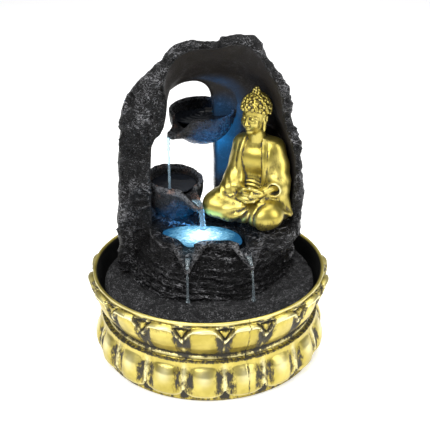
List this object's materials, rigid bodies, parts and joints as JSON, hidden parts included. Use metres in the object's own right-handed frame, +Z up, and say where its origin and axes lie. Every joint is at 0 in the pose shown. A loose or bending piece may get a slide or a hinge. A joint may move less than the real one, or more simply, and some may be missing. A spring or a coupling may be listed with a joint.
{
  "type": "tabletop water fountain",
  "caption": "Lotus-petal basin carrying a hollow rock arch with a seated figure, stacked pouring bowls, a lit pool, and a hidden pump, hose and light.",
  "frame": {"origin": "centre of the basin's underside, in the plane of the foot pads", "axes": "+Z up; -Y is the front, where the pool's spouts pour; +X is the right, where the figure sits"},
  "size_m": [0.2078, 0.2088, 0.2775],
  "materials": {
    "gold": "cast resin, antique gold paint with a black wash in the recesses",
    "rock": "cast resin, charcoal paint dry-brushed with grey",
    "bowl": "cast resin, near-black paint with worn edges",
    "rubber": "matt black",
    "pump_black": "moulded, satin black",
    "clear_tube": "milky flexible hose",
    "lens": "clear, slightly frosted",
    "board": "white solder mask",
    "led": "cool white lamp",
    "laminations": "stacked sheet, varnished",
    "copper": "enamelled winding",
    "magnet": "sintered ferrite",
    "ceramic": "polished",
    "impeller_white": "moulded"
  },
  "bodies": {
    "base": {"lotus_basin": "gold", "foot_pads": "rubber", "cable_grommet": "rubber", "pump_body": "pump_black", "stator_core": "laminations", "stator_coil": "copper", "rotor_shaft": "ceramic", "shaft_bushes": "rubber", "volute_cover": "pump_black", "volute_seal": "rubber", "light_socket": "pump_black", "cord_gland": "rubber", "suction_cups": "rubber"},
    "rockwork": {"rock_tray": "rock", "rock_arch": "rock", "pool_rock": "rock", "figure_ledge": "rock", "upper_bowl": "bowl", "middle_bowl": "bowl", "seated_figure": "gold", "riser_tube": "clear_tube", "bowl_inlet": "pump_black", "pool_light_lens": "lens", "pool_light_gasket": "rubber", "pool_light_housing": "pump_black", "pool_light_board": "board", "pool_light_leds": "led", "light_lead": "pump_black", "light_plug": "pump_black"},
    "rotor": {"rotor_magnet": "magnet", "impeller": "impeller_white"},
    "cover": {"intake_cover": "pump_black"},
    "gate": {"flow_regulator": "pump_black"}
  },
  "joints": [
    {"name": "rock_lift", "type": "slide", "parent": "base", "child": "rockwork", "axis": [0, 0, 1], "range_m": [0, 0.09]},
    {"name": "rotor_spin", "type": "hinge", "parent": "base", "child": "rotor", "pos_m": [0, 0.048, 0.033], "axis": [1, 0, 0], "continuous": true},
    {"name": "cover_pull", "type": "slide", "parent": "base", "child": "cover", "axis": [1, 0, 0], "range_m": [0, 0.012]},
    {"name": "flow_adjust", "type": "slide", "parent": "cover", "child": "gate", "axis": [0, 1, 0], "range_m": [0, 0.007]}
  ]
}
